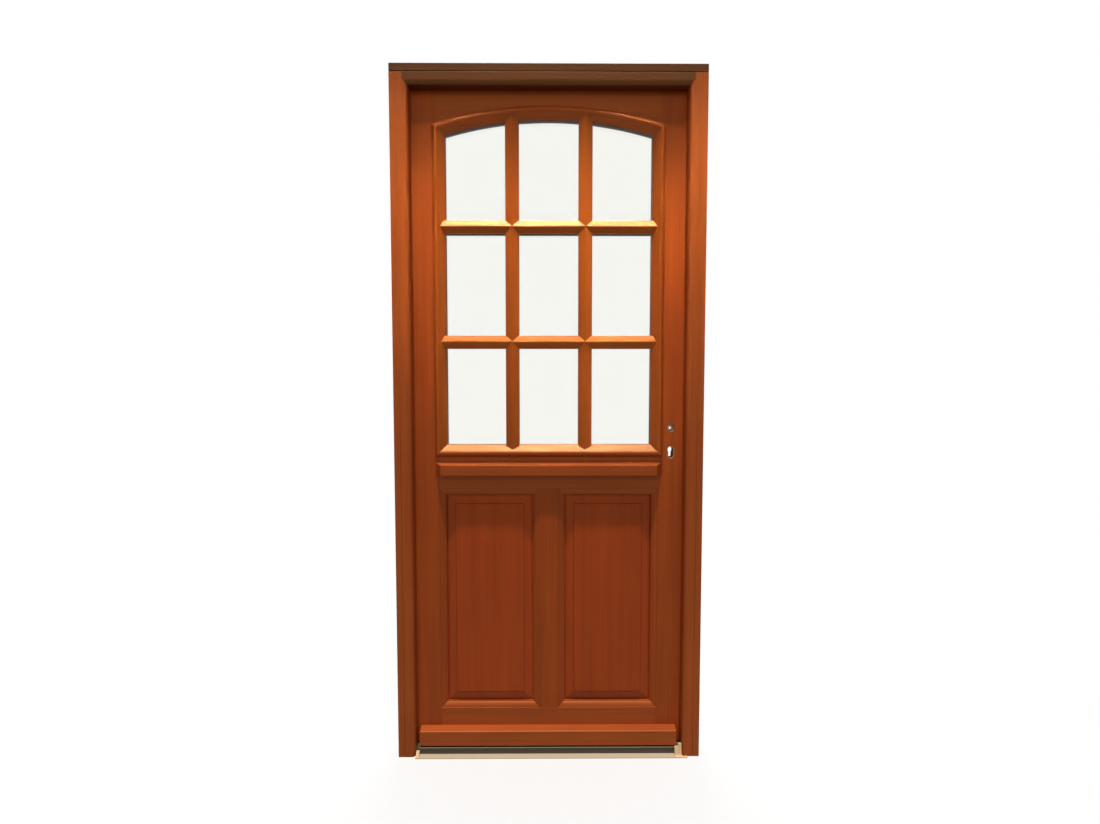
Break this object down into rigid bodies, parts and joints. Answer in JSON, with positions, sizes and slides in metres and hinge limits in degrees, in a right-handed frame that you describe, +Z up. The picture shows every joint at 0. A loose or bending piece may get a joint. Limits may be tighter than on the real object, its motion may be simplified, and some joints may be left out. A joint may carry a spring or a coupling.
{
  "type": "panelled front door",
  "caption": "Half-glazed timber front door in its frame, with arched glazing bars over raised and fielded panels, weatherboard, aluminium threshold and mortise lock",
  "frame": {"origin": "middle of the threshold's underside on the floor, at the middle of the frame's depth", "axes": "+X to the right seen from outside, +Y from outside to inside, +Z up"},
  "size_m": [0.98, 0.1165, 2.19],
  "materials": {
    "timber": "satin",
    "panel_timber": "satin",
    "clear_glass": "gloss",
    "spacer_aluminium": "satin",
    "sill_aluminium": "satin",
    "zinc_steel": "satin",
    "bright_steel": "satin",
    "brass": "satin",
    "seal_rubber": "matte",
    "cream_plastic": "matte",
    "block_plastic": "matte"
  },
  "bodies": {
    "frame": {"hinge_jamb": "timber", "lock_jamb": "timber", "frame_head": "timber", "head_strip": "timber", "threshold": "sill_aluminium", "threshold_end_caps": "cream_plastic", "threshold_seal": "seal_rubber", "hinge_side_seal": "seal_rubber", "lock_side_seal": "seal_rubber", "head_seal": "seal_rubber", "strike_plate": "zinc_steel", "strike_screws": "bright_steel", "bottom_hinge_frame_half": "zinc_steel", "middle_hinge_frame_half": "zinc_steel", "top_hinge_frame_half": "zinc_steel", "hinge_pins": "bright_steel", "hinge_washers": "brass", "hinge_frame_screws": "bright_steel"},
    "leaf": {"hinge_stile": "timber", "lock_stile": "timber", "top_rail": "timber", "lock_rail": "timber", "bottom_rail": "timber", "muntin": "timber", "left_panel": "panel_timber", "right_panel": "panel_timber", "outside_left_moulding": "timber", "outside_right_moulding": "timber", "outside_bottom_moulding": "timber", "outside_arch_moulding": "timber", "inside_left_bead": "timber", "inside_right_bead": "timber", "inside_bottom_bead": "timber", "inside_arch_bead": "timber", "outside_left_bar": "timber", "outside_right_bar": "timber", "outside_lower_bar": "timber", "outside_upper_bar": "timber", "inside_left_bar": "timber", "inside_right_bar": "timber", "inside_lower_bar": "timber", "inside_upper_bar": "timber", "outer_glass": "clear_glass", "inner_glass": "clear_glass", "glass_spacer": "spacer_aluminium", "setting_blocks": "block_plastic", "apron_moulding": "timber", "weatherboard": "timber", "lock_case": "zinc_steel", "lock_faceplate": "bright_steel", "faceplate_screws": "bright_steel", "bottom_hinge_leaf_half": "zinc_steel", "middle_hinge_leaf_half": "zinc_steel", "top_hinge_leaf_half": "zinc_steel", "hinge_leaf_screws": "bright_steel"},
    "latch": {"latch_bolt": "bright_steel"},
    "deadbolt": {"deadbolt": "bright_steel"},
    "follower": {"follower": "bright_steel"}
  },
  "joints": [
    {"name": "leaf_swing", "type": "hinge", "parent": "frame", "child": "leaf", "pos_m": [-0.4465, 0.0525, 1.0825], "axis": [0, 0, 1], "range_deg": [0, 110]},
    {"name": "follower_turn", "type": "hinge", "parent": "leaf", "child": "follower", "pos_m": [0.395, 0.022, 1.073], "axis": [0, -1, 0], "range_deg": [0, 40], "stiffness_Nm_per_rad": 0.8},
    {"name": "latch_slide", "type": "slide", "parent": "leaf", "child": "latch", "axis": [-1, 0, 0], "range_m": [0, 0.012]},
    {"name": "deadbolt_slide", "type": "slide", "parent": "leaf", "child": "deadbolt", "axis": [1, 0, 0], "range_m": [0, 0.02]}
  ],
  "couplings": [
    {"joint": "latch_slide", "follows": "follower_turn", "m_per_rad": 0.017189}
  ]
}
